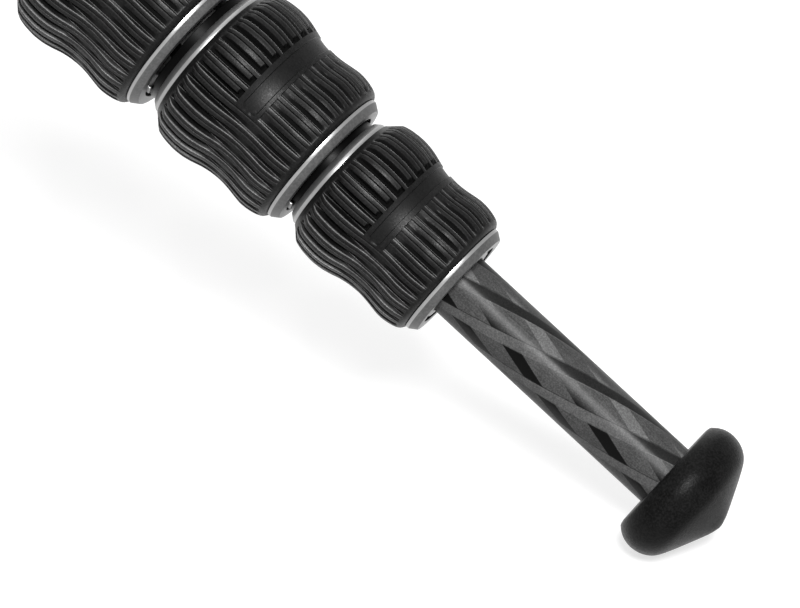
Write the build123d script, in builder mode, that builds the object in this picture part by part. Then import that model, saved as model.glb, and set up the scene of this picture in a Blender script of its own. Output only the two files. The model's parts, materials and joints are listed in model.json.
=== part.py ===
from build123d import *
import os
from math import cos, pi, radians, sin

os.makedirs("parts", exist_ok=True)

# All lengths are in millimetres.
# The origin is the base of the head stud, on the top of the head plate's pad, with +Z up.
# Leg A spreads towards +X, and legs B and C stand 120 and 240 degrees round from it.
leg_spin = {"a": 0, "b": 120, "c": 240}
leg_spread = 55

# Leg tubes, from the hub down
tube_1_diameter = 25.3
tube_2_diameter = 21.7
tube_3_diameter = 18.2
tube_4_diameter = 14.9
tube_wall = 1.3
tube_stagger = 4
top_bush_length = 12
slide_fit = 0.05

# Twist locks, measured from each lock's lower end face
lock_1_reach = 292.9
lock_gaps = (2.45, 1.45)
ring_length = 2.55
ring_chamfer = 1.15
ring_chamfer_length = 1.65
end_face_width = 2.2
upper_ring_length = 2.1
upper_ring_taper = 0.9
upper_taper_length = 1.4
neck_length = 2.0
neck_inset = 0.8
lock_wall = 5.0
lock_wall_growth = 0.75
grip_length = 31.85
grip_seat_depth = 1.6
thread_depth = 1.2
thread_length = 17
thread_clearance = 0.3
tube_end_height = 9
turn_clearance = 0.3
face_recess = 1.2
lip_clearance = 0.6

# Rubber grips: heights above the ring's own radius, and how far along the grip they lie
grip_start_rise = 0.1
shoulder_rise = 3.0
peak_rise = 3.65
bend_rise = 3.1
waist_rise = 1.75
second_rise = 2.5
grip_end_rise = 0.6
shoulder_share = 0.09
peak_share = 0.245
bend_share = 0.38
waist_share = 0.58
second_share = 0.82
groove_floor_rise = 1.4
groove_share = 0.5
rib_count = 30
rib_count_growth = 3

# The grip's smooth band, where the grooves break off, and the shallow recess in it
band_from = -75
band_turn = 150
band_start_share = 0.42
band_end_share = 0.59
recess_start_share = 0.456
recess_end_share = 0.556
recess_turn = 140
recess_floor_rise = 1.3

# Collets inside the locks
collet_fit = 0.05
collet_seat_depth = 10
collet_seat_wall = 0.35
collet_flange_rise = 0.85
collet_flange_length = 2.5
collet_nose_rise = 0.4
collet_nose_height = 2.4
collet_slot = 0.8

# Feet
foot_gap = 2.5
foot_drawn_out = 57
foot_length = 16
foot_radius = 16.25
foot_rim_round = 3.0
foot_rim_steps = 6
foot_widest = 5.2
foot_cone_start = 10.4
foot_cone_radius = 14.1
foot_tip_radius = 5.3
foot_tip_height = 1.3
foot_seat_depth = 2
foot_stem_length = 14

# Hub
pivot_radius = 38
hub_radius = 20
hub_height = 24
hub_neck_radius = 15.6
hub_neck_height = 14
lug_thickness = 12
lug_radius = 15
web_height = 21
bolt_diameter = 6
bolt_head_diameter = 10
bolt_head_height = 2
bolt_socket = 4
bolt_fit = 0.05
bolt_head_gap = 0.2
stop_angles = (0, 24, 55)
notch_depth = 3.5

# Leg yokes and angle stops
fork_clearance = 0.3
ear_thickness = 5
ear_radius = 9.5
yoke_wall = 2.15
yoke_start = 16
yoke_floor = 2.2
yoke_window_length = 9.3
tube_seat_start = 30
yoke_end = 48
yoke_chamfer = 1
stop_width = 4
stop_breadth = 8
stop_clearance = 0.3
stop_nose_gap = 0.5
stop_tab_length = 4.5
stop_pad_breadth = 13
stop_pad_length = 9
stop_pad_thickness = 2.3
stop_pad_round = 0.8

# Centre column and head plate
column_diameter = 25
column_wall = 1.5
column_length = 252
column_fit = 0.05
bush_wall = 1.45
bush_rise = 2
key_width = 2.8
key_depth = 0.5
key_clearance = 0.3
plate_diameter = 40
plate_thickness = 5
plate_rim = 0.8
plate_rim_height = 0.7
plate_chamfer = 0.8
spigot_length = 12
pad_thickness = 1
pad_bore = 12
stud_diameter = 9.525
stud_length = 11.3
stud_chamfer = 0.8
stud_shank_diameter = 8.4
stud_head_diameter = 14
stud_head_height = 4
column_lock_length = 21.5
column_lock_gap = 0.5
column_lock_wall = 1.4
column_lock_lip = 2.5
column_lock_roof = 4
column_grip_radius = 19.5
column_grip_groove = 1.0
column_grip_ribs = 30
cap_radius = 13.4
cap_thickness = 4
cap_plug_length = 10
hook_width = 3.2
hook_thickness = 3
hook_loop_radius = 5.5
hook_stem = 6
hook_mouth = 6

# Sizes that follow from the ones above
tube_radii = [
    diameter / 2
    for diameter in (tube_1_diameter, tube_2_diameter, tube_3_diameter, tube_4_diameter)
]
locks = (0, 1, 2)
lock_length = upper_ring_length + grip_length + ring_length
ring_radii = [tube_radii[lock] + lock_wall + lock_wall_growth * (2 - lock) for lock in locks]
lock_ends = [lock_1_reach]
for gap in lock_gaps:
    lock_ends.append(lock_ends[-1] + gap + lock_length)
foot_rear = lock_ends[-1] + foot_gap + foot_drawn_out
plate_bottom = -(pad_thickness + plate_thickness)
column_radius = column_diameter / 2
column_bore = column_radius - column_wall
column_lock_top = plate_bottom - column_lock_gap
column_lock_bottom = column_lock_top - column_lock_length
hub_top = column_lock_bottom - column_lock_gap
pivot_height = hub_top - hub_height / 2
hub_bottom = hub_top - hub_height
hub_bore = column_radius + column_fit + bush_wall
yoke_radius = tube_radii[0] + yoke_wall
fork_half = lug_thickness / 2 + fork_clearance
ear_face = fork_half + ear_thickness
lowest_section = len(tube_radii) - 1
column_lock_bore = hub_neck_radius + thread_clearance
column_lock_radius = column_lock_bore + column_lock_wall
column_lip_radius = column_lock_radius + column_lock_wall
notch_width = stop_width + 2 * stop_clearance


def pivot_point(spin):
    """The middle of a leg's hinge."""
    around = radians(spin)
    return Vector(pivot_radius * cos(around), pivot_radius * sin(around), pivot_height)


def leg_plane(spin):
    """A leg's own plane: origin at its hinge, Z down the leg and X to its upper, outer side."""
    around, spread = radians(spin), radians(leg_spread)
    outward = Vector(cos(around), sin(around), 0)
    up = Vector(0, 0, 1)
    return Plane(
        origin=pivot_point(spin),
        x_dir=outward * cos(spread) + up * sin(spread),
        z_dir=outward * sin(spread) - up * cos(spread),
    )


def hinge_plane(spin):
    """The upright plane of a leg's swing, with X pointing outward and Y up."""
    around = radians(spin)
    return Plane(
        origin=pivot_point(spin),
        x_dir=(cos(around), sin(around), 0),
        z_dir=(sin(around), -cos(around), 0),
    )


def write(piece, node):
    piece.part.label = node
    export_step(piece.part, f"parts/{node}.step")


def write_on_legs(piece, name):
    """Stand one copy of a leg's piece on each leg."""
    for leg, spin in leg_spin.items():
        with BuildPart(leg_plane(spin)) as copy:
            add(piece.part)
        write(copy, f"leg_{leg}_{name}")


def leg_tube(section):
    """A carbon tube with its top bush and, above a lock, its threaded lower end."""
    outer = tube_radii[section]
    bore = outer - tube_wall
    top = tube_seat_start if section == 0 else tube_seat_start + section * tube_stagger
    if section == lowest_section:
        top += foot_drawn_out
        end = foot_rear + foot_seat_depth
    else:
        end = lock_ends[section] - tube_end_height
    with BuildPart() as tube:
        with BuildSketch(Plane.XY.offset(top)):
            Circle(outer)
        extrude(amount=end - top)
        if section > 0:
            with BuildSketch(Plane.XY.offset(top)):
                Circle(tube_radii[section - 1] - tube_wall - slide_fit)
            extrude(amount=top_bush_length)
        if section < lowest_section:
            with BuildSketch(Plane.XY.offset(end - thread_length)):
                Circle(outer + thread_depth)
            extrude(amount=thread_length)
        with BuildSketch(Plane.XY.offset(top)):
            Circle(bore)
        extrude(amount=end - top, mode=Mode.SUBTRACT)
        if section < lowest_section:
            with BuildSketch(Plane.XY.offset(end - collet_seat_depth)):
                Circle(outer - collet_seat_wall)
            extrude(amount=collet_seat_depth, mode=Mode.SUBTRACT)
    return tube


def lock_collar(lock):
    """The aluminium sleeve of a twist lock, with the ring that shows at each end of its grip."""
    end = lock_ends[lock]
    ring = ring_radii[lock]
    seat = ring - grip_seat_depth
    tube, inner = tube_radii[lock], tube_radii[lock + 1]
    start = end - lock_length
    hole = ring - ring_chamfer - end_face_width
    neck = ring - upper_ring_taper - neck_inset
    thread_bore = tube + thread_depth + thread_clearance
    thread_top = tube_end_height + thread_length + thread_clearance
    flange_bottom = tube_end_height - collet_flange_length
    lip_bore = inner + lip_clearance
    with BuildPart() as collar:
        with BuildSketch(Plane.XZ):
            with BuildLine():
                Polyline(
                    (lip_bore, end - face_recess),
                    (hole, end - face_recess),
                    (hole, end),
                    (ring - ring_chamfer, end),
                    (ring, end - ring_chamfer_length),
                    (ring, end - ring_length),
                    (seat, end - ring_length),
                    (seat, start + upper_ring_length),
                    (ring, start + upper_ring_length),
                    (ring, start + upper_taper_length),
                    (ring - upper_ring_taper, start),
                    (neck, start),
                    (neck, start - neck_length),
                    (tube + turn_clearance, start - neck_length),
                    (tube + turn_clearance, end - thread_top),
                    (thread_bore, end - thread_top),
                    (thread_bore, end - flange_bottom),
                    (lip_bore, end - collet_nose_height + 2 * turn_clearance),
                    close=True,
                )
            make_face()
        revolve(axis=Axis.Z)
    return collar


def lock_grip(lock):
    """The moulded rubber grip: two swells, a flat for each rib and a smooth band at the waist."""
    ring = ring_radii[lock]
    length = grip_length
    start = lock_ends[lock] - lock_length + upper_ring_length
    seat = ring - grip_seat_depth
    ribs = rib_count + rib_count_growth * (2 - lock)
    floor = ring + groove_floor_rise
    beyond = ring + peak_rise + groove_floor_rise
    pitch = 360 / ribs
    turns = [pitch * rib for rib in range(ribs)]
    banded = [turn for turn in turns if (turn - band_from) % 360 < band_turn]
    open_turns = [turn for turn in turns if turn not in banded]
    runs = [
        (open_turns, 0, 1),
        (banded, 0, band_start_share),
        (banded, band_end_share, 1),
    ]
    swells = {
        0: grip_start_rise,
        shoulder_share: shoulder_rise,
        peak_share: peak_rise,
        bend_share: bend_rise,
        waist_share: waist_rise,
        second_share: second_rise,
        1: grip_end_rise,
    }
    with BuildPart() as grip:
        for share, rise in swells.items():
            with BuildSketch(Plane.XY.offset(start + share * length)):
                RegularPolygon(ring + rise, ribs, major_radius=False)
        loft(ruled=True)
        groove_width = groove_share * 2 * pi * (ring + peak_rise) / ribs
        for groove_turns, run_from, run_to in runs:
            with BuildSketch(Plane.XY.offset(start + run_from * length)):
                for turn in groove_turns:
                    with PolarLocations((floor + beyond) / 2, 1, start_angle=turn):
                        Rectangle(beyond - floor, groove_width)
            extrude(amount=(run_to - run_from) * length, mode=Mode.SUBTRACT)
        with BuildSketch(Plane.XY.offset(start + recess_start_share * length)):
            with BuildLine():
                recess_from = band_from + (band_turn - recess_turn) / 2
                inner = CenterArc((0, 0), ring + recess_floor_rise, recess_from, recess_turn)
                outer = CenterArc((0, 0), beyond, recess_from, recess_turn)
                Line(inner @ 0, outer @ 0)
                Line(inner @ 1, outer @ 1)
            make_face()
        extrude(amount=(recess_end_share - recess_start_share) * length, mode=Mode.SUBTRACT)
        with BuildSketch(Plane.XY.offset(start)):
            Circle(seat)
        extrude(amount=length, mode=Mode.SUBTRACT)
    return grip


def lock_collet(lock):
    """The split collet that a lock squeezes on to the next tube."""
    end = lock_ends[lock]
    tube, inner = tube_radii[lock], tube_radii[lock + 1]
    bore = inner + collet_fit
    shoulder = end - tube_end_height
    with BuildPart() as collet:
        with BuildSketch(Plane.XZ):
            with BuildLine():
                Polyline(
                    (bore, shoulder - collet_seat_depth),
                    (tube - collet_seat_wall, shoulder - collet_seat_depth),
                    (tube - collet_seat_wall, shoulder),
                    (tube + collet_flange_rise, shoulder),
                    (tube + collet_flange_rise, shoulder + collet_flange_length),
                    (inner + collet_nose_rise, end - collet_nose_height),
                    (bore, end - collet_nose_height),
                    close=True,
                )
            make_face()
        revolve(axis=Axis.Z)
        with BuildSketch(Plane.XY.offset(shoulder - collet_seat_depth)):
            Rectangle(2 * tube, collet_slot, align=(Align.MIN, Align.CENTER))
        extrude(amount=collet_seat_depth + tube_end_height, mode=Mode.SUBTRACT)
    return collet


def rubber_foot():
    """A mushroom foot with a stem that plugs the lowest tube."""
    tube = tube_radii[3]
    tip = foot_rear + foot_length
    rim_middle = foot_radius - foot_rim_round
    rim = [
        (
            rim_middle + foot_rim_round * cos(pi * step / foot_rim_steps - pi / 2),
            foot_rear + foot_widest + foot_widest * sin(pi * step / foot_rim_steps - pi / 2),
        )
        for step in range(foot_rim_steps)
    ]
    with BuildPart() as foot:
        with BuildSketch(Plane.XZ):
            with BuildLine():
                Polyline(
                    (0, tip),
                    (0, foot_rear - foot_stem_length),
                    (tube - tube_wall, foot_rear - foot_stem_length),
                    (tube - tube_wall, foot_rear + foot_seat_depth),
                    (tube, foot_rear + foot_seat_depth),
                    (tube, foot_rear),
                    *rim,
                    (foot_cone_radius, foot_rear + foot_cone_start),
                    (foot_tip_radius, tip - foot_tip_height),
                    (foot_tip_radius / 2, tip - foot_tip_height / 4),
                    close=True,
                )
            make_face()
        revolve(axis=Axis.Z)
    return foot


def yoke():
    """The fork at the top of a leg, with the socket that holds the first tube."""
    window_start = yoke_start + yoke_floor
    with BuildPart() as fork:
        with BuildSketch(Plane.XZ):
            Circle(ear_radius)
            with Locations((0, yoke_start)):
                Rectangle(2 * ear_radius, 2 * yoke_floor)
            make_hull()
        extrude(amount=ear_face, both=True)
        with BuildSketch(Plane.XY.offset(yoke_start)):
            Circle(yoke_radius)
        extrude(amount=yoke_end - yoke_start)
        chamfer(fork.faces().sort_by(Axis.Z)[-1].edges(), yoke_chamfer)
        with BuildSketch(Plane.XY.offset(-ear_radius)):
            Rectangle(4 * ear_radius, 2 * fork_half)
        extrude(amount=ear_radius + yoke_start, mode=Mode.SUBTRACT)
        with BuildSketch(Plane.XY.offset(tube_seat_start)):
            Circle(tube_radii[0])
        extrude(amount=yoke_end - tube_seat_start, mode=Mode.SUBTRACT)
        with BuildSketch(Plane.XY.offset(yoke_start)):
            Rectangle(notch_width, stop_breadth + 2 * stop_clearance)
        extrude(amount=yoke_floor, mode=Mode.SUBTRACT)
        with BuildSketch(Plane.XY.offset(window_start)):
            with Locations((-notch_width / 2, 0)):
                Rectangle(
                    notch_width / 2 + 2 * yoke_radius,
                    stop_breadth + 2 * stop_clearance,
                    align=(Align.MIN, Align.CENTER),
                )
        extrude(amount=yoke_window_length, mode=Mode.SUBTRACT)
        with BuildSketch(Plane.XZ):
            Circle(bolt_diameter / 2 + bolt_fit)
        extrude(amount=ear_face, both=True, mode=Mode.SUBTRACT)
    return fork


def angle_stop():
    """The tooth that drops into the hub's notches, with its thumb tab, drawn out."""
    nose = lug_radius + stop_nose_gap
    tab_end = yoke_start + yoke_floor + yoke_window_length - stop_clearance
    pad_bottom = yoke_radius + stop_clearance
    with BuildPart() as stop:
        with BuildSketch(Plane.XY.offset(nose)):
            Rectangle(stop_width, stop_breadth)
        extrude(amount=tab_end - nose)
        with BuildSketch(Plane.XY.offset(tab_end)):
            Rectangle(
                pad_bottom + stop_pad_thickness / 2,
                stop_breadth,
                align=(Align.MIN, Align.CENTER),
            )
        extrude(amount=-stop_tab_length)
        with BuildSketch(Plane.YZ.offset(pad_bottom)):
            with Locations((0, tab_end - stop_tab_length / 2)):
                RectangleRounded(stop_pad_breadth, stop_pad_length, stop_pad_round)
        extrude(amount=stop_pad_thickness)
    return stop


# The leg pieces, one copy on each leg
for section in range(4):
    write_on_legs(leg_tube(section), f"tube_{section + 1}")
for lock in locks:
    write_on_legs(lock_collar(lock), f"lock_{lock + 1}_collar")
    write_on_legs(lock_grip(lock), f"lock_{lock + 1}_grip")
    write_on_legs(lock_collet(lock), f"lock_{lock + 1}_collet")
write_on_legs(rubber_foot(), "foot")
write_on_legs(yoke(), "yoke")
write_on_legs(angle_stop(), "angle_stop")

# The spider: a ring round the column, a neck for the column lock and a notched lug for each leg
with BuildPart() as spider:
    with BuildSketch(Plane.XY.offset(hub_bottom)):
        Circle(hub_radius)
    extrude(amount=hub_height)
    for spin in leg_spin.values():
        with BuildSketch(hinge_plane(spin)):
            Circle(lug_radius)
            with Locations((-pivot_radius, 0)):
                Rectangle(hub_radius, web_height, align=(Align.MIN, Align.CENTER))
            make_hull()
        extrude(amount=lug_thickness / 2, both=True)
    # The lugs are turned away where the column lock's lip runs round above the ring
    with BuildSketch(Plane.XY.offset(hub_top)):
        Circle(column_lip_radius + turn_clearance)
    extrude(amount=column_lock_length, mode=Mode.SUBTRACT)
    with BuildSketch(Plane.XY.offset(hub_top)):
        Circle(hub_neck_radius)
    extrude(amount=hub_neck_height)
    with BuildSketch(Plane.XY.offset(hub_bottom)):
        Circle(hub_bore)
    extrude(amount=hub_height + hub_neck_height, mode=Mode.SUBTRACT)
    for spin in leg_spin.values():
        with BuildSketch(hinge_plane(spin)):
            Circle(bolt_diameter / 2)
            for angle in stop_angles:
                with PolarLocations(lug_radius, 1, start_angle=angle - 90):
                    Rectangle(2 * notch_depth, notch_width)
        extrude(amount=lug_thickness / 2, both=True, mode=Mode.SUBTRACT)
write(spider, "spider")

# The hinge bolts, one through each yoke and lug
with BuildPart() as hinge_bolts:
    for spin in leg_spin.values():
        for side in (-1, 1):
            head_plane = hinge_plane(spin).offset(side * (ear_face + bolt_head_gap))
            with BuildSketch(head_plane):
                Circle(bolt_head_diameter / 2)
            extrude(amount=side * bolt_head_height)
        with BuildSketch(hinge_plane(spin)):
            Circle(bolt_diameter / 2)
        extrude(amount=ear_face + bolt_head_gap, both=True)
        for side in (-1, 1):
            head_top = side * (ear_face + bolt_head_gap + bolt_head_height)
            face_plane = hinge_plane(spin).offset(head_top)
            with BuildSketch(face_plane):
                RegularPolygon(bolt_socket / 2, 6, major_radius=False)
            extrude(amount=-side * bolt_head_height, mode=Mode.SUBTRACT)
write(hinge_bolts, "hinge_bolts")

# The split bush that guides the column, with its key
with BuildPart() as column_bush:
    bush_top = hub_top + hub_neck_height + bush_rise
    with BuildSketch(Plane.XY.offset(hub_bottom)):
        Circle(hub_bore)
        Circle(column_radius + column_fit, mode=Mode.SUBTRACT)
    extrude(amount=bush_top - hub_bottom)
    with BuildSketch(Plane.XY.offset(hub_bottom)):
        with Locations((-(column_radius - key_depth), 0)):
            Rectangle(key_depth + bush_wall / 2, key_width, align=(Align.MAX, Align.CENTER))
    extrude(amount=hub_height)
write(column_bush, "column_bush")

# The column lock: a collar on the spider's neck, and its rubber grip
with BuildPart() as column_lock_collar:
    with BuildSketch(Plane.XY.offset(column_lock_bottom)):
        Circle(column_lock_radius)
    extrude(amount=column_lock_length)
    with BuildSketch(Plane.XY.offset(column_lock_bottom)):
        Circle(column_lip_radius)
    extrude(amount=column_lock_lip)
    with BuildSketch(Plane.XY.offset(column_lock_bottom)):
        Circle(column_lock_bore)
    extrude(amount=column_lock_length - column_lock_roof, mode=Mode.SUBTRACT)
    with BuildSketch(Plane.XY.offset(column_lock_bottom)):
        Circle(column_radius + turn_clearance)
    extrude(amount=column_lock_length, mode=Mode.SUBTRACT)
    top_edges = column_lock_collar.faces().sort_by(Axis.Z)[-1].edges()
    chamfer(top_edges.sort_by(SortBy.RADIUS)[-1], plate_chamfer)
write(column_lock_collar, "column_lock_collar")

with BuildPart() as column_lock_grip:
    grip_bottom = column_lock_bottom + column_lock_lip
    column_grip_length = column_lock_length - column_lock_lip - 2 * plate_chamfer
    column_groove_width = groove_share * 2 * pi * column_grip_radius / column_grip_ribs
    with BuildSketch(Plane.XY.offset(grip_bottom)):
        Circle(column_grip_radius)
        Circle(column_lock_radius, mode=Mode.SUBTRACT)
    extrude(amount=column_grip_length)
    chamfer(
        column_lock_grip.edges().filter_by(GeomType.CIRCLE).group_by(SortBy.RADIUS)[-1],
        plate_chamfer,
    )
    with BuildSketch(Plane.XY.offset(grip_bottom)):
        with PolarLocations(column_grip_radius, column_grip_ribs):
            Rectangle(2 * column_grip_groove, column_groove_width)
    extrude(amount=column_grip_length, mode=Mode.SUBTRACT)
write(column_lock_grip, "column_lock_grip")

# The centre column with its keyway
with BuildPart() as column_tube:
    with BuildSketch(Plane.XY.offset(plate_bottom)):
        Circle(column_radius)
        Circle(column_bore, mode=Mode.SUBTRACT)
    extrude(amount=-column_length)
    with BuildSketch(Plane.XY.offset(plate_bottom)):
        with Locations((-(column_radius - key_depth - key_clearance), 0)):
            Rectangle(
                2 * key_depth,
                key_width + 2 * key_clearance,
                align=(Align.MAX, Align.CENTER),
            )
    extrude(amount=-column_length, mode=Mode.SUBTRACT)
write(column_tube, "column_tube")

# The head plate with the spigot that fills the column's top
with BuildPart() as head_plate:
    with BuildSketch(Plane.XY.offset(plate_bottom)):
        Circle(plate_diameter / 2)
    extrude(amount=plate_thickness)
    chamfer(head_plate.faces().sort_by(Axis.Z)[0].edges(), plate_chamfer)
    with BuildSketch(Plane.XY.offset(plate_bottom + plate_thickness)):
        Circle(plate_diameter / 2)
        Circle(plate_diameter / 2 - plate_rim, mode=Mode.SUBTRACT)
    extrude(amount=plate_rim_height)
    with BuildSketch(Plane.XY.offset(plate_bottom)):
        Circle(column_bore)
    extrude(amount=-spigot_length)
    with BuildSketch(Plane.XY.offset(plate_bottom - spigot_length)):
        Circle(stud_shank_diameter / 2)
    extrude(amount=plate_thickness + spigot_length, mode=Mode.SUBTRACT)
write(head_plate, "head_plate")

# The ring of rubber on the head plate
with BuildPart() as plate_pad:
    with BuildSketch(Plane.XY.offset(-pad_thickness)):
        Circle(plate_diameter / 2 - plate_rim)
        Circle(pad_bore / 2, mode=Mode.SUBTRACT)
    extrude(amount=pad_thickness)
write(plate_pad, "plate_pad")

# The head stud, whose thread is modelled at its major diameter
with BuildPart() as head_stud:
    with BuildSketch():
        Circle(stud_diameter / 2)
    extrude(amount=stud_length)
    chamfer(head_stud.faces().sort_by(Axis.Z)[-1].edges(), stud_chamfer)
    shank_bottom = plate_bottom - spigot_length
    with BuildSketch(Plane.XY.offset(shank_bottom)):
        Circle(stud_shank_diameter / 2)
    extrude(amount=-shank_bottom)
    with BuildSketch(Plane.XY.offset(shank_bottom)):
        Circle(stud_head_diameter / 2)
    extrude(amount=-stud_head_height)
write(head_stud, "head_stud")

# The column's end cap, plugged into its bore
with BuildPart() as column_end_cap:
    column_end = plate_bottom - column_length
    with BuildSketch(Plane.XY.offset(column_end)):
        Circle(cap_radius)
    extrude(amount=-cap_thickness)
    chamfer(column_end_cap.faces().sort_by(Axis.Z)[0].edges(), plate_chamfer)
    with BuildSketch(Plane.XY.offset(column_end)):
        Circle(column_bore)
    extrude(amount=cap_plug_length)
write(column_end_cap, "column_end_cap")

# The hook under the column, a flat hook for a bag or a weight
with BuildPart() as column_hook:
    hook_top = column_end - cap_thickness
    loop_middle = hook_top - hook_stem - hook_loop_radius
    with BuildSketch(Plane.XZ):
        with Locations((0, loop_middle)):
            Circle(hook_loop_radius + hook_width)
            Circle(hook_loop_radius, mode=Mode.SUBTRACT)
            with Locations((hook_loop_radius + hook_width / 2, hook_mouth / 2)):
                Rectangle(2 * hook_width, hook_mouth, mode=Mode.SUBTRACT)
        with Locations((0, hook_top)):
            Rectangle(hook_width, hook_stem, align=(Align.CENTER, Align.MAX))
    extrude(amount=hook_thickness / 2, both=True)
write(column_hook, "column_hook")
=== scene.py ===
import json
import math

import bmesh
import bpy
from mathutils import Matrix, Vector


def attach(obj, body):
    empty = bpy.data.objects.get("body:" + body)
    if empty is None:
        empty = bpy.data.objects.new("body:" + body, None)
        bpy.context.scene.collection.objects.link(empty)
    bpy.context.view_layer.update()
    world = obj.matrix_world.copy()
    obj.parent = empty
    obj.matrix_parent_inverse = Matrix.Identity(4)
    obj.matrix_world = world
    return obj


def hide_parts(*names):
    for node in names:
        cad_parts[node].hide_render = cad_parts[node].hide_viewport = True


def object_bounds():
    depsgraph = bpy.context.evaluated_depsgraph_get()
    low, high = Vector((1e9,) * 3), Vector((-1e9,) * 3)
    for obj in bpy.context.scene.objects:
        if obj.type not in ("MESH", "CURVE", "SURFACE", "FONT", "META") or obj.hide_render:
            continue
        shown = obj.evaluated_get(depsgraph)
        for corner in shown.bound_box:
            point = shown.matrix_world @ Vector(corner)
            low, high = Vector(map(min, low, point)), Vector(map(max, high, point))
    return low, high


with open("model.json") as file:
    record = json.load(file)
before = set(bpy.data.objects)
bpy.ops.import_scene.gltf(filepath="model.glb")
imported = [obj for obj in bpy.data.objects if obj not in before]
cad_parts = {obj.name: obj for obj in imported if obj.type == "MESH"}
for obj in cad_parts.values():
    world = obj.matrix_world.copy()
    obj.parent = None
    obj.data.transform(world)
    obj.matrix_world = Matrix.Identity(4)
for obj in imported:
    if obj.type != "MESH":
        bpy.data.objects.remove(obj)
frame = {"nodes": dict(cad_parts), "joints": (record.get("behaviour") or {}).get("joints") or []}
cad_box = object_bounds()
nodes = frame["nodes"]
joints = {joint["name"]: joint for joint in frame["joints"]}
scene = bpy.context.scene

MM = 0.001
FULL_TURN = 2 * math.pi
LEGS = ("a", "b", "c")


# Places on the tripod.

def leg_axes(leg):
    """A leg's own axes: Z down the leg from the hinge, Y along the hinge, X to the leg's upper side."""
    down = Vector(joints[f"leg_{leg}_section_2_slide"]["axis"])
    hinge = joints[f"leg_{leg}_hinge"]
    across = Vector(hinge["axis"])
    turn = Matrix((across.cross(down), across, down)).transposed().to_4x4()
    return Matrix.Translation(hinge["pos_m"]) @ turn


def reach(node, axes):
    """Start, end and greatest radius of a CAD node, measured along and from the axes' Z."""
    inward = axes.inverted()
    points = [inward @ vert.co for vert in nodes[node].data.vertices]
    return (
        min(point.z for point in points),
        max(point.z for point in points),
        max(point.xy.length for point in points),
    )


def smooth_line(knots, at):
    """Value at a place on the smooth curve through knots of (place, value)."""
    at = min(max(at, knots[0][0]), knots[-1][0])
    for index in range(len(knots) - 1):
        if at <= knots[index + 1][0]:
            break
    (x0, y0), (x1, y1) = knots[index], knots[index + 1]
    before = knots[index - 1] if index else knots[index]
    after = knots[index + 2] if index + 2 < len(knots) else knots[index + 1]
    slope_0 = (y1 - before[1]) / (x1 - before[0])
    slope_1 = (after[1] - y0) / (after[0] - x0)
    span = x1 - x0
    t = (at - x0) / span
    return (
        (2 * t**3 - 3 * t**2 + 1) * y0
        + (t**3 - 2 * t**2 + t) * span * slope_0
        + (3 * t**2 - 2 * t**3) * y1
        + (t**3 - t**2) * span * slope_1
    )


# Making and placing pieces.

def turned(profile, steps):
    """A shape spun round Z from a closed profile of (radius, height) points."""
    shape = bmesh.new()
    verts = [shape.verts.new((radius, 0, height)) for radius, height in profile]
    edges = [shape.edges.new(pair) for pair in zip(verts, verts[1:] + verts[:1])]
    bmesh.ops.spin(
        shape, geom=verts + edges, cent=(0, 0, 0), axis=(0, 0, 1),
        angle=FULL_TURN, steps=steps, use_merge=True,
    )
    bmesh.ops.remove_doubles(shape, verts=shape.verts, dist=1e-7)
    bmesh.ops.recalc_face_normals(shape, faces=shape.faces)
    return shape


def own_place(shape):
    """Keeps each vertex's place in the piece's own axes for the materials."""
    layer = shape.verts.layers.float_vector.new("own_place")
    for vert in shape.verts:
        vert[layer] = vert.co


def add_piece(name, mesh, axes, material, body, replaced, sharp=35):
    """A finished piece from a mesh in its own axes, with its place in its mesh."""
    mesh = mesh.copy()
    mesh.name = name
    mesh.transform(axes)
    mesh.polygons.foreach_set("use_smooth", [True] * len(mesh.polygons))
    mesh.set_sharp_from_angle(angle=math.radians(sharp))
    mesh.materials.clear()
    mesh.materials.append(material)
    piece = bpy.data.objects.new(name, mesh)
    scene.collection.objects.link(piece)
    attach(piece, body)
    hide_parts(*replaced)
    return piece


def as_mesh(name, shape):
    own_place(shape)
    mesh = bpy.data.meshes.new(name)
    shape.to_mesh(mesh)
    shape.free()
    return mesh


# Twist-lock rubbers.

# Height of the rubber over the ring beside it, in mm, by the share of its length.
GRIP_SWELL = (
    (0, 0.35), (0.015, 0.75), (0.049, 1.8), (0.083, 2.75), (0.116, 3.1), (0.15, 3.33),
    (0.217, 3.53), (0.251, 3.55), (0.318, 3.36), (0.386, 2.88), (0.453, 2.25), (0.52, 1.82),
    (0.587, 1.63), (0.63, 1.62), (0.688, 1.78), (0.755, 2.1), (0.82, 2.34), (0.89, 2.16),
    (0.957, 1.62), (0.985, 1.05), (1, 0.4),
)
GROOVE_FLOOR = 1.42
RECESS_DEPTH = 0.27
# Places across one rib pitch: a slot with one sloped side, a crest with a painted highlight on its edge,
# a fine line and a panel that falls toward the next slot. Each has the share of the slot's depth, a
# depth of its own in mm, how black it is painted as shade, and how bright its painted highlight is.
RIB_COLUMNS = (
    (0.0, 1, 0, 1, 0), (0.12, 1, 0, 1, 0), (0.228, 1, 0, 1, 0), (0.25, 1, 0, 0.2, 0.7),
    (0.275, 0.85, 0, 0.7, 0), (0.35, 0.25, 0, 0.4, 0), (0.375, 0, 0.03, 0, 1),
    (0.402, 0, 0, 0, 0.1), (0.5, 0, 0, 0, 0), (0.6, 0, 0.02, 0, 0), (0.625, 0, 0.26, 1, 0),
    (0.655, 0, 0.26, 1, 0), (0.68, 0, 0.1, 0, 0.12), (0.78, 0, 0.13, 0, 0), (0.88, 0, 0.18, 0, 0),
    (0.955, 0, 0.26, 0.1, 0), (0.982, 0, 0.4, 0.5, 0),
)
CREST_MIDDLE = 0.525
PANEL_FROM, PANEL_MIDDLE = 0.62, 0.82
CAP_SHARE = 0.03


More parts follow.
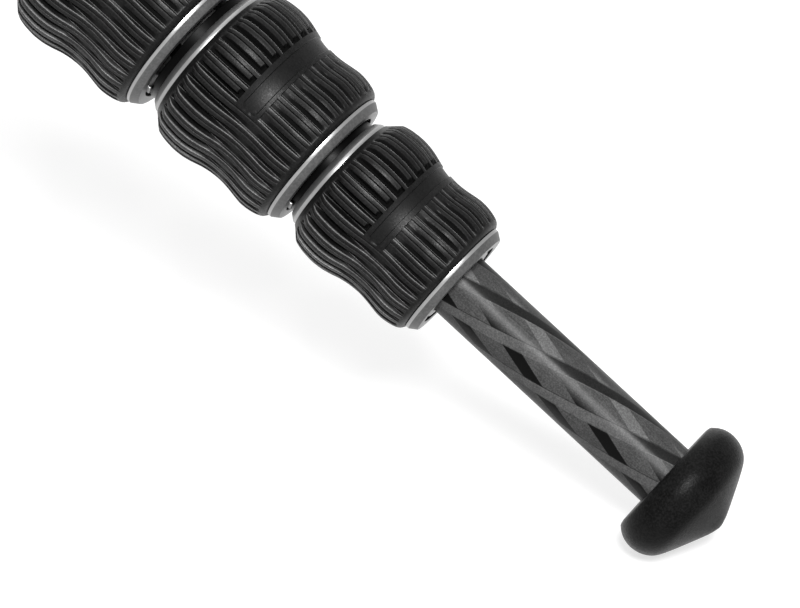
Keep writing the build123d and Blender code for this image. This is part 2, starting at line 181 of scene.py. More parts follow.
def grip_heights(length, walls):
    """Shares of the length at which a grip's profile has points, closer where its form turns."""
    places = [index / 64 for index in range(65)]
    places += [0.008, 0.024, 0.039, 0.055, 0.07, 0.085, 0.1, 0.117, 0.133, 0.965, 0.978, 0.99]
    for wall in walls:
        places += [wall - 0.004, wall, wall + 0.004]
    places = sorted(places)
    kept = [places[0]]
    for place in places[1:]:
        if place - kept[-1] > 0.0035 * 31.4 * MM / length:
            kept.append(place)
    kept[-1] = 1
    return kept


def grip_shape(start, length, ring, seat, ribs, phase, band_to, band_turn, band, recess):
    """A ribbed rubber sleeve with two swells, a smooth band on one side and a bare recess in it."""
    places = grip_heights(length, band + recess)
    outer = [(ring + smooth_line(GRIP_SWELL, place) * MM, place) for place in places]
    profile = [(radius, start + place * length) for radius, place in outer]
    profile += [(seat, start + length), (seat, start)]
    columns = len(RIB_COLUMNS)
    shape = turned(profile, ribs * columns)
    painted_slot_shade = shape.verts.layers.float.new("painted_slot_shade")
    painted_highlight = shape.verts.layers.float.new("painted_edge_highlight")
    pitch = FULL_TURN / ribs
    step = pitch / columns
    floor = ring + GROOVE_FLOOR * MM
    middle = start + sum(recess) / 2 * length
    half = (recess[1] - recess[0]) / 2 * length
    for vert in shape.verts:
        radius = vert.co.xy.length
        if radius < seat + 0.2 * MM:
            continue
        place = (vert.co.z - start) / length
        column = round(math.atan2(vert.co.y, vert.co.x) / step) % (ribs * columns)
        rib, column = divmod(column, columns)
        across, slot, own_depth, black, bright = RIB_COLUMNS[column]
        angle = phase + (rib + across - CREST_MIDDLE) * pitch
        centre = phase + (rib + PANEL_MIDDLE - CREST_MIDDLE - (across < CREST_MIDDLE)) * pitch
        banded = (band_to - centre) % FULL_TURN < band_turn
        # Slot ends just before the band: cut to full depth and painted black, as painted shade.
        if banded and band[0] - CAP_SHARE < place < band[0] - 0.002 and across > PANEL_FROM:
            slot, own_depth, black, bright = 1, 0, 1, 0
        if banded and band[0] - 0.0001 <= place <= band[1] + 0.0001:
            slot = own_depth = black = bright = 0
        height = max(0, radius - floor)
        depth = min(slot * height + own_depth * MM, height)
        # Painted shade in the slots and painted highlight on the crest edges, both weaker where the rubber
        # is low.
        vert[painted_slot_shade] = black * min(1, height / (0.3 * MM))
        vert[painted_highlight] = bright * min(1, height / (0.2 * MM))
        # The recess in the band ends in a half circle.
        along = vert.co.z - middle
        beyond = ((angle - band_to) * radius) % (FULL_TURN * radius)
        if beyond > math.pi * radius:
            beyond -= FULL_TURN * radius
        beyond += half + 0.35 * MM
        far = -band_turn * radius + half
        around = max(0, beyond, far - beyond)
        if abs(along) <= half + 1e-6 and math.hypot(along, around) < half + 0.02 * MM:
            if abs(along) < half - 0.05 * MM and math.hypot(along, around) < half - 0.05 * MM:
                depth += RECESS_DEPTH * MM
                # The recess floor is painted part way to black, as painted shade.
                vert[painted_slot_shade] = 0.3
        radius -= depth
        vert.co.x, vert.co.y = radius * math.cos(angle), radius * math.sin(angle)
    bmesh.ops.recalc_face_normals(shape, faces=shape.faces)
    return shape


# Rings of the twist locks.

NECK_LENGTH = 2.0 * MM
HOLE_DEPTH = 1.6 * MM
CLIP_TURN = math.radians(121)
# Finishes on a sleeve: bare turned stripe, matte cone, bright end face, near-black neck and inside.
STRIPE, CONE, FACE, INSIDE = (0, 0), (1, 0), (0.45, 0), (0, 1)


def key_block(shape, hole, lock_end):
    """The rounded end of the clip that shows at the hole's lower side."""
    turn = Matrix.Rotation(CLIP_TURN, 4, "Z")
    place = Matrix.Translation((hole - 0.32 * MM, 0, lock_end + 0.05 * MM))
    size = Matrix.Diagonal((0.74 * MM, 2.6 * MM, 1.5 * MM, 1))
    block = bmesh.ops.create_cube(shape, size=1, matrix=turn @ place @ size)
    edges = {edge for vert in block["verts"] for edge in vert.link_edges}
    bmesh.ops.bevel(
        shape, geom=list(edges), offset=0.3 * MM, segments=3, profile=0.5,
        affect="EDGES", material=-1,
    )


def sleeve_shape(neck_start, lock_end, ring, bore, grip_start, grip_end, last):
    """The lock's aluminium sleeve: a dark neck, and a ring on each side of the rubber."""
    seat = ring - 1.2 * MM
    neck = ring - 1.7 * MM
    hole = ring - 3.4 * MM
    edge = 0.12 * MM
    lock_start = neck_start + NECK_LENGTH
    profile = [
        (bore, neck_start, INSIDE),
        (neck - edge, neck_start, INSIDE),
        (neck, neck_start + edge, INSIDE),
        (neck, lock_start, INSIDE),
        (ring - 1.0 * MM, lock_start, FACE),
        (ring - 0.9 * MM, lock_start + edge, FACE),
        (ring - 0.05 * MM, lock_start + 1.2 * MM, FACE),
        (ring, lock_start + 1.3 * MM, STRIPE),
        (ring, grip_start - 0.1 * MM, STRIPE),
        (ring - edge, grip_start, INSIDE),
        (seat, grip_start, INSIDE),
        (seat, grip_end, INSIDE),
        (seat, grip_end + 0.14 * MM, INSIDE),
        (ring - edge, grip_end + 0.14 * MM, STRIPE),
        (ring, grip_end + 0.22 * MM, STRIPE),
        (ring, lock_end - 1.68 * MM, STRIPE),
        (ring - 0.06 * MM, lock_end - 1.58 * MM, CONE),
        (ring - 1.08 * MM, lock_end - 0.12 * MM, CONE),
        (ring - 1.16 * MM, lock_end - 0.03 * MM, CONE),
        (ring - 1.25 * MM, lock_end, FACE),
        (hole + 0.12 * MM, lock_end, FACE),
        (hole, lock_end - 0.12 * MM, INSIDE),
        (hole, lock_end - HOLE_DEPTH, INSIDE),
    ]
    if last:
        rim = bore + 1.75 * MM
        profile += [
            (rim + 0.02 * MM, lock_end - HOLE_DEPTH, INSIDE),
            (rim, lock_end - 0.35 * MM, INSIDE),
            (rim - 0.12 * MM, lock_end - 0.22 * MM, FACE),
            (bore + 0.25 * MM, lock_end - 0.22 * MM, FACE),
            (bore + 0.1 * MM, lock_end - 0.35 * MM, INSIDE),
            (bore + 0.1 * MM, lock_end - HOLE_DEPTH, INSIDE),
        ]
    profile.append((bore, lock_end - HOLE_DEPTH, INSIDE))
    shape = turned([point[:2] for point in profile], 144)
    if not last:
        key_block(shape, hole, lock_end)
    finishes = {(round(r / MM, 3), round(z / MM, 3)): finish for r, z, finish in profile}
    matte = shape.verts.layers.float.new("matte")
    dark = shape.verts.layers.float.new("dark")
    for vert in shape.verts:
        key = (round(vert.co.xy.length / MM, 3), round(vert.co.z / MM, 3))
        vert[matte], vert[dark] = finishes.get(key, FACE)
    return shape


# Carbon tubes.

# Outer diameter in mm of each section.
TUBE_DIAMETERS = {1: 25.3, 2: 21.7, 3: 18.2, 4: 14.9}
TUBE_WALL = 1.3 * MM


def tube_shape(start, end, radius, wall):
    edge = 0.25 * MM
    profile = [
        (radius - wall, start),
        (radius - edge, start),
        (radius, start + edge),
        (radius, end - edge),
        (radius - edge, end),
        (radius - wall, end),
    ]
    return turned(profile, 128)


# Rubber foot.

# Radius in mm by the distance from the foot's back face.
FOOT_LINE = (
    (0, 13.0), (0.1, 13.6), (0.31, 14.11), (0.94, 14.66), (1.57, 15.13), (2.21, 15.49),
    (2.84, 15.76), (3.48, 15.93), (4.11, 16.04), (4.74, 16.09), (5.38, 16.08), (6.0, 16.0),
    (6.64, 15.87), (7.27, 15.7), (7.91, 15.44), (8.54, 15.1), (9.17, 14.66), (9.6, 14.3),
    (10.02, 13.85), (10.5, 13.2), (11.07, 12.2), (12.13, 10.05), (13.18, 7.72), (14.23, 5.36),
    (14.8, 4.05), (15.29, 2.86), (15.6, 1.95), (15.85, 1.05), (15.97, 0.5), (16, 0),
)


FOOT_LENGTH = 16 * MM
STEM_RADIUS, STEM_REACH = 6 * MM, 4 * MM


def foot_shape(start):
    """The mushroom foot with its stem, which goes up into the tube."""
    profile = [(STEM_RADIUS, start - STEM_REACH), (STEM_RADIUS, start + 0.3 * MM)]
    profile += [(radius * MM, start + along * MM) for along, radius in FOOT_LINE]
    profile.append((0, start - STEM_REACH))
    return turned(profile, 160)


# Hub pieces keep the CAD's shape, with broken edges.

def dressed_copy(name, node, width, segments=2, angle=30):
    """A copy of a CAD node with merged faces and small bevels on its edges."""
    shape = bmesh.new()
    shape.from_mesh(nodes[node].data)
    bmesh.ops.remove_doubles(shape, verts=shape.verts, dist=2e-6)
    bmesh.ops.dissolve_limit(
        shape, angle_limit=math.radians(0.6), verts=shape.verts, edges=shape.edges, delimit=set()
    )
    bmesh.ops.recalc_face_normals(shape, faces=shape.faces)
    edges = [
        edge for edge in shape.edges
        if len(edge.link_faces) == 2 and edge.calc_face_angle(0) > math.radians(angle)
    ]
    bmesh.ops.bevel(
        shape, geom=edges, offset=width, segments=segments, profile=0.5,
        affect="EDGES", material=-1, clamp_overlap=True,
    )
    bmesh.ops.triangulate(shape, faces=[face for face in shape.faces if len(face.verts) > 4])
    return shape


# Materials.

def new_material(name):
    material = bpy.data.materials.new(name)
    material.use_nodes = True
    tree = material.node_tree
    return material, tree, tree.nodes["Principled BSDF"]


def add_node(tree, kind, inputs=None, **settings):
    """A node with its settings and its inputs, each a value or another node's output."""
    node = tree.nodes.new(kind)
    for name, value in settings.items():
        setattr(node, name, value)
    for name, value in (inputs or {}).items():
        if isinstance(value, bpy.types.NodeSocket):
            tree.links.new(value, node.inputs[name])
        else:
            node.inputs[name].default_value = value
    return node


def math_node(tree, operation, first, second=None, clamp=False):
    inputs = {0: first}
    if second is not None:
        inputs[1] = second
    return add_node(tree, "ShaderNodeMath", inputs, operation=operation, use_clamp=clamp).outputs[0]


def grey(value):
    return (value, value, value, 1)


def mix_colours(tree, share, first, second):
    node = tree.nodes.new("ShaderNodeMix")
    node.data_type = "RGBA"
    for index, value in ((0, share), (6, first), (7, second)):
        if isinstance(value, bpy.types.NodeSocket):
            tree.links.new(value, node.inputs[index])
        else:
            node.inputs[index].default_value = value
    return node.outputs[2]


def own_place_node(tree):
    return add_node(tree, "ShaderNodeAttribute", attribute_name="own_place").outputs["Vector"]


def mask_attribute(tree, name):
    return add_node(tree, "ShaderNodeAttribute", attribute_name=name).outputs["Fac"]


def rubber_grain_group():
    """Fine grain of moulded rubber: a mask for colour and a height for bump."""
    group = bpy.data.node_groups.new("rubber_grain", "ShaderNodeTree")
    group.interface.new_socket("Place", in_out="INPUT", socket_type="NodeSocketVector")
    group.interface.new_socket("Scale", in_out="INPUT", socket_type="NodeSocketFloat")
    group.interface.new_socket("Mask", in_out="OUTPUT", socket_type="NodeSocketFloat")
    group.interface.new_socket("Height", in_out="OUTPUT", socket_type="NodeSocketFloat")
    entry = group.nodes.new("NodeGroupInput")
    leave = group.nodes.new("NodeGroupOutput")
    fine = add_node(
        group, "ShaderNodeTexNoise",
        {"Vector": entry.outputs["Place"], "Scale": entry.outputs["Scale"], "Detail": 3.0, "Roughness": 0.6},
    )
    coarse_scale = math_node(group, "MULTIPLY", entry.outputs["Scale"], 0.13)
    coarse = add_node(
        group, "ShaderNodeTexNoise",
        {"Vector": entry.outputs["Place"], "Scale": coarse_scale, "Detail": 2.0},
    )
    speck = add_node(
        group, "ShaderNodeMapRange",
        {"Value": fine.outputs["Fac"], "From Min": 0.42, "From Max": 0.72},
    )
    patch = add_node(
        group, "ShaderNodeMapRange",
        {"Value": coarse.outputs["Fac"], "From Min": 0.3, "From Max": 0.7},
    )
    mask = math_node(group, "MULTIPLY", speck.outputs[0], 0.75)
    mask = math_node(group, "ADD", mask, math_node(group, "MULTIPLY", patch.outputs[0], 0.25))
    group.links.new(mask, leave.inputs["Mask"])
    group.links.new(fine.outputs["Fac"], leave.inputs["Height"])
    return group


RUBBER_GRAIN = rubber_grain_group()


def grain_node(tree, place, scale):
    node = tree.nodes.new("ShaderNodeGroup")
    node.node_tree = RUBBER_GRAIN
    tree.links.new(place, node.inputs["Place"])
    node.inputs["Scale"].default_value = scale
    return node


def bump(tree, height, strength, distance):
    return add_node(
        tree, "ShaderNodeBump", {"Height": height, "Strength": strength, "Distance": distance}
    ).outputs["Normal"]


def grip_rubber():
    material, tree, shader = new_material("grip_rubber")
    place = own_place_node(tree)
    grain = grain_node(tree, place, 2600)
    painted_slot_shade = mask_attribute(tree, "painted_slot_shade")
    painted_highlight = mask_attribute(tree, "painted_edge_highlight")
    top = mix_colours(tree, grain.outputs["Mask"], grey(0.0008), grey(0.012))
    broken = add_node(
        tree, "ShaderNodeMapRange", {"Value": grain.outputs["Mask"], "To Min": 0.5, "To Max": 1.0}
    ).outputs[0]
    # Painted highlight: a pale line along the crest edges, broken up by the grain.
    edge = mix_colours(tree, math_node(tree, "MULTIPLY", painted_highlight, broken), top, grey(0.28))
    # Painted shade: slots, their ends and the fine lines near black, and the recess floor darker.
    colour = mix_colours(tree, painted_slot_shade, edge, grey(0.0015))
    tree.links.new(colour, shader.inputs["Base Color"])
    rough = add_node(
        tree, "ShaderNodeMapRange",
        {"Value": grain.outputs["Mask"], "To Min": 0.44, "To Max": 0.28},
    )
    rough = math_node(tree, "MAXIMUM", rough.outputs[0], painted_slot_shade)
    tree.links.new(rough, shader.inputs["Roughness"])
    shader.inputs["Specular IOR Level"].default_value = 0.12
    tree.links.new(bump(tree, grain.outputs["Height"], 0.3, 0.00012), shader.inputs["Normal"])
    return material


def foot_rubber():
    material, tree, shader = new_material("foot_rubber")
    grain = grain_node(tree, own_place_node(tree), 2300)
    colour = mix_colours(tree, grain.outputs["Mask"], grey(0.001), grey(0.012))
    tree.links.new(colour, shader.inputs["Base Color"])
    rough = add_node(
        tree, "ShaderNodeMapRange",
        {"Value": grain.outputs["Mask"], "To Min": 0.4, "To Max": 0.24},
    )
    tree.links.new(rough.outputs[0], shader.inputs["Roughness"])
    shader.inputs["Specular IOR Level"].default_value = 0.045
    tree.links.new(bump(tree, grain.outputs["Height"], 0.4, 0.00016), shader.inputs["Normal"])
    return material


def turned_metal():
    """Aluminium with the fine rings of a lathe, matte on its cones and black inside."""
    material, tree, shader = new_material("ring_aluminium")
    place = own_place_node(tree)
    parts = add_node(tree, "ShaderNodeSeparateXYZ", {"Vector": place})
    out = add_node(tree, "ShaderNodeVectorMath", {0: place}, operation="LENGTH")
    lathe = add_node(tree, "ShaderNodeCombineXYZ", {"X": parts.outputs["Z"], "Y": out.outputs["Value"]})
    rings = add_node(
        tree, "ShaderNodeTexNoise",
        {"Vector": lathe.outputs[0], "Scale": 9000.0, "Detail": 2.0},
    )
    dust = grain_node(tree, place, 1800)
    matte = mask_attribute(tree, "matte")
    dark = mask_attribute(tree, "dark")
    stripe = mix_colours(tree, rings.outputs["Fac"], grey(0.25), grey(0.36))
    cone = mix_colours(tree, dust.outputs["Mask"], grey(0.085), grey(0.15))
    colour = mix_colours(tree, matte, stripe, cone)
    colour = mix_colours(tree, math_node(tree, "MULTIPLY", dust.outputs["Mask"], 0.15), colour, grey(0.1))
    colour = mix_colours(tree, dark, colour, grey(0.004))
    tree.links.new(colour, shader.inputs["Base Color"])
    shader.inputs["Metallic"].default_value = 1
    rough = math_node(tree, "MULTIPLY", matte, 0.16)
    rough = math_node(tree, "ADD", rough, math_node(tree, "MULTIPLY", dust.outputs["Mask"], 0.1))
    tree.links.new(math_node(tree, "ADD", rough, 0.3), shader.inputs["Roughness"])
    tree.links.new(bump(tree, rings.outputs["Fac"], 0.12, 0.00003), shader.inputs["Normal"])
    return material


# The tube's tapes: how many run round it, how far apart along it, and how the winding crowds on one side.
TAPES = 7.0
TAPE_PITCH = 24.4 * MM
CROWDING, CROWDED_AT = 0.1, math.radians(20)
RISING_TAPE, FALLING_TAPE = (0.102, 0.417), (0.226, 0.602)
RISING_START = 0.25
# Turns round the tube from which the painted sheen on the rising and falling tapes is measured.
RISING_SHEEN, FALLING_SHEEN = math.radians(41), math.radians(67)


def carbon_tube():
    """Carbon tapes wound both ways, with a painted sheen: lighter and darker stretches painted round the
    tube.
    """
    material, tree, shader = new_material("carbon_tube")
    place = own_place_node(tree)
    parts = add_node(tree, "ShaderNodeSeparateXYZ", {"Vector": place})
    turn = math_node(tree, "ARCTAN2", parts.outputs["Y"], parts.outputs["X"])
    crowd = math_node(tree, "SINE", math_node(tree, "SUBTRACT", turn, CROWDED_AT))
    around = math_node(tree, "SUBTRACT", turn, math_node(tree, "MULTIPLY", crowd, CROWDING))
    around = math_node(tree, "MULTIPLY", around, TAPES / FULL_TURN)
    along = math_node(tree, "DIVIDE", parts.outputs["Z"], TAPE_PITCH)
    rising = math_node(tree, "ADD", math_node(tree, "ADD", around, along), RISING_START)
    rising = math_node(tree, "FRACT", rising)
    falling = math_node(tree, "FRACT", math_node(tree, "SUBTRACT", around, along))

    def step(value, low, high):
        return add_node(
            tree, "ShaderNodeMapRange",
            {"Value": value, "From Min": low, "From Max": high}, interpolation_type="SMOOTHSTEP",
        ).outputs[0]

    def tape(value, low, high, soft):
        return math_node(tree, "SUBTRACT", step(value, low, low + soft), step(value, high, high + soft))

    def sheen(start):
        """Phase of the painted sheen: goes from -1 to 1 twice round the tube, painted in the tube's own
        axes.
        """
        twice = math_node(tree, "MULTIPLY", math_node(tree, "SUBTRACT", turn, start), 2.0)
        return math_node(tree, "SINE", twice)

    # Painted sheen and shade: each tape is painted lighter or darker by its turn round the tube, as light on
    # its fibres.
    rising_painted_sheen = step(sheen(RISING_SHEEN), -0.1, 0.2)
    falling_painted_highlight = step(sheen(FALLING_SHEEN), -0.68, -0.88)
    falling_painted_shade = step(sheen(FALLING_SHEEN), -0.62, 0.05)
    falling_painted_shade_fade = step(sheen(FALLING_SHEEN), 0.8, 1.0)
    long_fibres = add_node(
        tree, "ShaderNodeCombineXYZ",
        {"X": math_node(tree, "MULTIPLY", around, 34.0), "Y": math_node(tree, "MULTIPLY", along, 2.5)},
    )
    fibres = add_node(
        tree, "ShaderNodeTexNoise", {"Vector": long_fibres.outputs[0], "Scale": 1.0, "Detail": 3.0}
    ).outputs["Fac"]
    grain = grain_node(tree, place, 3000)
    cloth = mix_colours(tree, fibres, grey(0.035), grey(0.12))
    under = mix_colours(tree, falling_painted_highlight, cloth, grey(0.16))
    under = mix_colours(tree, falling_painted_shade, under, grey(0.0015))
    under = mix_colours(tree, falling_painted_shade_fade, under, grey(0.018))
    over = mix_colours(tree, rising_painted_sheen, grey(0.018), grey(0.115))
    under_tape = tape(falling, *FALLING_TAPE, 0.02)
    over_tape = tape(rising, *RISING_TAPE, 0.025)
    colour = mix_colours(tree, under_tape, cloth, under)
    colour = mix_colours(tree, over_tape, colour, over)
    light_edge = tape(rising, RISING_TAPE[1], RISING_TAPE[1] + 0.03, 0.02)
    colour = mix_colours(tree, math_node(tree, "MULTIPLY", light_edge, 0.45), colour, grey(0.16))
    dark_edge = tape(rising, RISING_TAPE[0] - 0.03, RISING_TAPE[0], 0.02)
    colour = mix_colours(tree, math_node(tree, "MULTIPLY", dark_edge, 0.6), colour, grey(0.012))
    shade = add_node(
        tree, "ShaderNodeMapRange", {"Value": grain.outputs["Mask"], "To Min": 0.42, "To Max": 1.05}
    ).outputs[0]
    speckled = add_node(tree, "ShaderNodeVectorMath", {0: colour, 1: shade}, operation="MULTIPLY").outputs[0]
    tree.links.new(speckled, shader.inputs["Base Color"])
    shader.inputs["Roughness"].default_value = 0.34
    shader.inputs["Specular IOR Level"].default_value = 0.07
    tree.links.new(bump(tree, fibres, 0.08, 0.00003), shader.inputs["Normal"])
    return material


def hub_paint():
    material, tree, shader = new_material("hub_paint")
    place = add_node(tree, "ShaderNodeTexCoord").outputs["Object"]
    grain = grain_node(tree, place, 2200)
    colour = mix_colours(tree, grain.outputs["Mask"], grey(0.018), grey(0.05))
    tree.links.new(colour, shader.inputs["Base Color"])
    rough = add_node(
        tree, "ShaderNodeMapRange", {"Value": grain.outputs["Mask"], "To Min": 0.5, "To Max": 0.36}
    )
    tree.links.new(rough.outputs[0], shader.inputs["Roughness"])
    tree.links.new(bump(tree, grain.outputs["Height"], 0.5, 0.00012), shader.inputs["Normal"])
    return material


def moulded_plastic():
    material, tree, shader = new_material("moulded_plastic")
    grain = grain_node(tree, add_node(tree, "ShaderNodeTexCoord").outputs["Object"], 3000)
    colour = mix_colours(tree, grain.outputs["Mask"], grey(0.014), grey(0.026))
    tree.links.new(colour, shader.inputs["Base Color"])
    shader.inputs["Roughness"].default_value = 0.45
    tree.links.new(bump(tree, grain.outputs["Height"], 0.2, 0.00006), shader.inputs["Normal"])
    return material


def satin_metal(name, value, roughness):
    material, tree, shader = new_material(name)
    grain = grain_node(tree, add_node(tree, "ShaderNodeTexCoord").outputs["Object"], 2400)
    colour = mix_colours(tree, grain.outputs["Mask"], grey(value), grey(value * 0.8))
    tree.links.new(colour, shader.inputs["Base Color"])
    shader.inputs["Metallic"].default_value = 1
    rough = add_node(
        tree, "ShaderNodeMapRange",
        {"Value": grain.outputs["Mask"], "To Min": roughness, "To Max": roughness + 0.12},
    )
    tree.links.new(rough.outputs[0], shader.inputs["Roughness"])
    tree.links.new(bump(tree, grain.outputs["Height"], 0.15, 0.00004), shader.inputs["Normal"])
    return material


GRIP = grip_rubber()
FOOT = foot_rubber()
RING = turned_metal()
CARBON = carbon_tube()
PAINT = hub_paint()
PLASTIC = moulded_plastic()
ALUMINIUM = satin_metal("satin_aluminium", 0.45, 0.36)
STEEL = satin_metal("bolt_steel", 0.5, 0.28)


# Legs.

# For each lock: ribs round the rubber, the turn of the first groove, the turn at which the smooth
# band ends, how far it goes round, and where the band and its recess lie along the rubber.
LOCKS = {
    1: (36, 52.0, 63, 150, (0.414, 0.594), (0.451, 0.569)),
    2: (33, 54.7, 66.5, 150, (0.414, 0.594), (0.451, 0.569)),
    3: (30, 52.0, 77, 150, (0.427, 0.585), (0.459, 0.546)),
}


def make_leg(leg, shapes):
    axes = leg_axes(leg)
    for number in (1, 2, 3, 4):
        tube = f"leg_{leg}_tube_{number}"
        body = f"leg_{leg}" if number == 1 else f"leg_{leg}_section_{number}"
        add_piece(
            f"leg_{leg}_carbon_{number}", shapes[f"tube_{number}"], axes, CARBON, body, [tube]
        )
    for number in (1, 2, 3):
        lock = f"leg_{leg}_lock_{number}"
        rubber, sleeve = shapes[f"grip_{number}"], shapes[f"sleeve_{number}"]
        add_piece(f"{lock}_rubber", rubber, axes, GRIP, lock, [f"{lock}_grip"])
        add_piece(f"{lock}_sleeve", sleeve, axes, RING, lock, [f"{lock}_collar"])
        nodes[f"{lock}_collet"].data.materials.clear()
        nodes[f"{lock}_collet"].data.materials.append(PLASTIC)
    add_piece(
        f"leg_{leg}_rubber_foot", shapes["foot"], axes, FOOT,
        f"leg_{leg}_section_4", [f"leg_{leg}_foot"],
    )


def leg_shapes():
    """The pieces of one leg in the leg's own axes, from the places of leg a's CAD nodes."""
    axes = leg_axes("a")
    shapes = {}
    for number, (ribs, phase, band_to, band_turn, band, recess) in LOCKS.items():
        neck_start, lock_end, ring = reach(f"leg_a_lock_{number}_collar", axes)
        grip_start, grip_end = reach(f"leg_a_lock_{number}_grip", axes)[:2]
        shape = grip_shape(
            grip_start, grip_end - grip_start, ring, ring - 1.2 * MM, ribs,
            math.radians(phase), math.radians(band_to), math.radians(band_turn), band, recess,
        )
        shapes[f"grip_{number}"] = as_mesh(f"grip_{number}", shape)
        inner = TUBE_DIAMETERS[number + 1] / 2 * MM
        shape = sleeve_shape(
            neck_start, lock_end, ring, inner + 0.1 * MM, grip_start, grip_end, number == 3
        )
        shapes[f"sleeve_{number}"] = as_mesh(f"sleeve_{number}", shape)
    for number, diameter in TUBE_DIAMETERS.items():
        start, end = reach(f"leg_a_tube_{number}", axes)[:2]
        shapes[f"tube_{number}"] = as_mesh(
            f"tube_{number}", tube_shape(start, end, diameter / 2 * MM, TUBE_WALL)
        )
    foot_end = reach("leg_a_foot", axes)[1]
    shapes["foot"] = as_mesh("foot", foot_shape(foot_end - FOOT_LENGTH))
    return shapes


SHAPES = leg_shapes()
for leg_name in LEGS:
    make_leg(leg_name, SHAPES)
    fork = as_mesh("fork", dressed_copy("fork", f"leg_{leg_name}_yoke", 0.3 * MM))
    add_piece(
        f"leg_{leg_name}_fork", fork, Matrix.Identity(4), PAINT,
        f"leg_{leg_name}", [f"leg_{leg_name}_yoke"],
    )
    tab = as_mesh("tab", dressed_copy("tab", f"leg_{leg_name}_angle_stop", 0.25 * MM))
    add_piece(
        f"leg_{leg_name}_spread_tab", tab, Matrix.Identity(4), ALUMINIUM,
        f"leg_{leg_name}_stop", [f"leg_{leg_name}_angle_stop"],
    )


# Hub and column.

HUB_FINISH = {
    "spider": (PAINT, "hub_paint", "spider"),
    "column_bush": (PLASTIC, "collet_plastic", "spider"),
    "hinge_bolts": (STEEL, "bolt_steel", "spider"),
    "column_tube": (CARBON, "carbon", "column"),
    "head_plate": (ALUMINIUM, "lock_ring", "column"),
    "plate_pad": (FOOT, "foot_rubber", "column"),
    "head_stud": (STEEL, "bolt_steel", "column"),
    "column_end_cap": (ALUMINIUM, "lock_ring", "column"),
    "column_hook": (STEEL, "bolt_steel", "column"),
    "column_lock_collar": (RING, "lock_ring", "column_lock"),
    "column_lock_grip": (GRIP, "grip_rubber", "column_lock"),
}
for node, (finish, slot, body) in HUB_FINISH.items():
    mesh = as_mesh(node, dressed_copy(node, node, 0.2 * MM))
    add_piece(f"{node}_part", mesh, Matrix.Identity(4), finish, body, [node])


# Camera, floor and light.

CAMERA_AZIMUTH, CAMERA_ELEVATION = math.radians(26.74), math.radians(26.83)
back = Vector((
    math.sin(CAMERA_AZIMUTH) * math.cos(CAMERA_ELEVATION),
    -math.cos(CAMERA_AZIMUTH) * math.cos(CAMERA_ELEVATION),
    math.sin(CAMERA_ELEVATION),
))
right = Vector((math.cos(CAMERA_AZIMUTH), math.sin(CAMERA_AZIMUTH), 0))
up = back.cross(right)
shown_leg = leg_axes("a")
down_leg = shown_leg.to_3x3() @ Vector((0, 0, 1))
foot_tip = shown_leg @ Vector((0, 0, reach("leg_a_foot", shown_leg)[1]))
side_up = 0.680 * right + 0.733 * up
target = foot_tip - 82 * MM * down_leg - 11.5 * MM * side_up
CAMERA_DISTANCE = 0.8
camera = bpy.data.cameras.new("camera")
camera.sensor_width = 36
camera.lens = 211.05 * CAMERA_DISTANCE
camera.clip_start = 0.01
camera_object = bpy.data.objects.new("camera", camera)
scene.collection.objects.link(camera_object)
camera_object.matrix_world = Matrix.Translation(target + CAMERA_DISTANCE * back) @ Matrix(
    (right, up, back)
).transposed().to_4x4()
scene.camera = camera_object


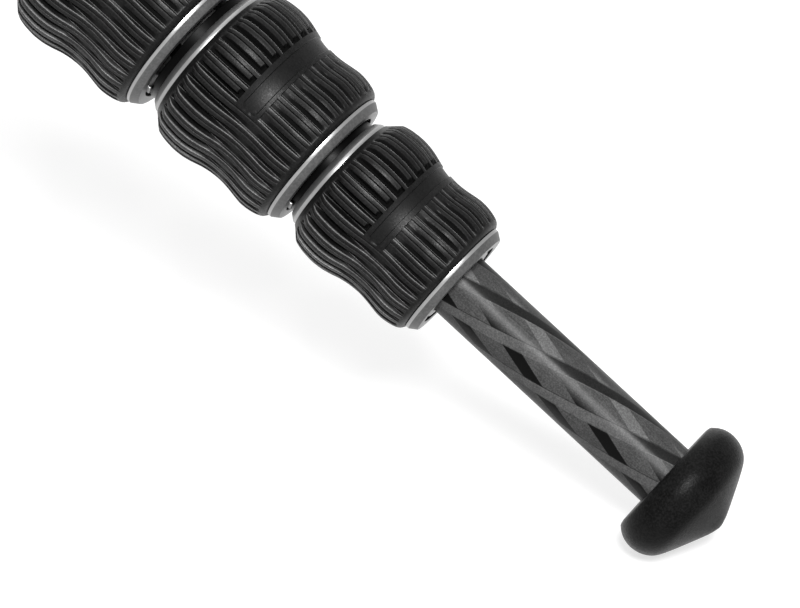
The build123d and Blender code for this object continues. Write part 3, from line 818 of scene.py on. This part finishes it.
def floor_material():
    """Pale floor: white to the camera and in reflections, whiter far out, with the shadow kept."""
    material, tree, shader = new_material("floor_paper")
    shader.inputs["Base Color"].default_value = grey(0.45)
    shader.inputs["Roughness"].default_value = 0.9
    shader.inputs["Specular IOR Level"].default_value = 0.0
    rays = add_node(tree, "ShaderNodeLightPath")
    seen = math_node(tree, "MAXIMUM", rays.outputs["Is Camera Ray"], rays.outputs["Is Glossy Ray"])
    seen = math_node(tree, "MAXIMUM", seen, rays.outputs["Is Transmission Ray"])
    place = add_node(tree, "ShaderNodeTexCoord").outputs["Object"]
    out = add_node(tree, "ShaderNodeVectorMath", {0: place}, operation="LENGTH").outputs["Value"]
    strength = add_node(
        tree, "ShaderNodeMapRange",
        {"Value": out, "From Min": 0.6, "From Max": 1.6, "To Min": 0.7, "To Max": 1.0},
        interpolation_type="SMOOTHSTEP",
    ).outputs[0]
    glow = add_node(tree, "ShaderNodeEmission", {"Color": grey(1.0), "Strength": strength})
    both = add_node(tree, "ShaderNodeAddShader", {0: shader.outputs[0], 1: glow.outputs[0]})
    choice = add_node(tree, "ShaderNodeMixShader", {0: seen, 1: shader.outputs[0], 2: both.outputs[0]})
    tree.links.new(choice.outputs[0], tree.nodes["Material Output"].inputs["Surface"])
    return material


floor_height = cad_box[0].z
floor_shape = bmesh.new()
bmesh.ops.create_grid(floor_shape, x_segments=1, y_segments=1, size=4)
bmesh.ops.translate(floor_shape, verts=floor_shape.verts, vec=(0, 0, floor_height))
floor_mesh = bpy.data.meshes.new("floor")
floor_shape.to_mesh(floor_mesh)
floor_shape.free()
floor_mesh.materials.append(floor_material())
floor = bpy.data.objects.new("floor", floor_mesh)
scene.collection.objects.link(floor)


def soft_box(name, toward, distance, width, height, power):
    """A soft studio lamp that looks at the tripod from a direction."""
    lamp = bpy.data.lights.new(name, "AREA")
    lamp.shape = "RECTANGLE"
    lamp.size, lamp.size_y = width, height
    lamp.energy = power
    lamp_object = bpy.data.objects.new(name, lamp)
    scene.collection.objects.link(lamp_object)
    toward = Vector(toward).normalized()
    lamp_object.matrix_world = Matrix.Translation(target + toward * distance) @ toward.to_track_quat(
        "Z", "Y"
    ).to_matrix().to_4x4()


soft_box("front_soft_box", back + 0.25 * side_up - 0.1 * down_leg, 1.3, 0.3, 0.3, 25)
soft_box("top_soft_box", (-0.3, 0.2, 1), 1.6, 1.6, 1.6, 8)
soft_box("back_soft_box", (-0.6, 1, 0.6), 1.6, 1.2, 1.2, 4)

world = bpy.data.worlds.new("studio")
scene.world = world
world.use_nodes = True
sky = world.node_tree
rays = add_node(sky, "ShaderNodeLightPath")
seen = math_node(sky, "MAXIMUM", rays.outputs["Is Camera Ray"], rays.outputs["Is Glossy Ray"])
seen = math_node(sky, "MAXIMUM", seen, rays.outputs["Is Transmission Ray"])
strength = math_node(sky, "ADD", math_node(sky, "MULTIPLY", seen, 0.8), 0.2)
sky.nodes["Background"].inputs["Color"].default_value = grey(1)
sky.links.new(strength, sky.nodes["Background"].inputs["Strength"])

scene.view_settings.view_transform = "Standard"
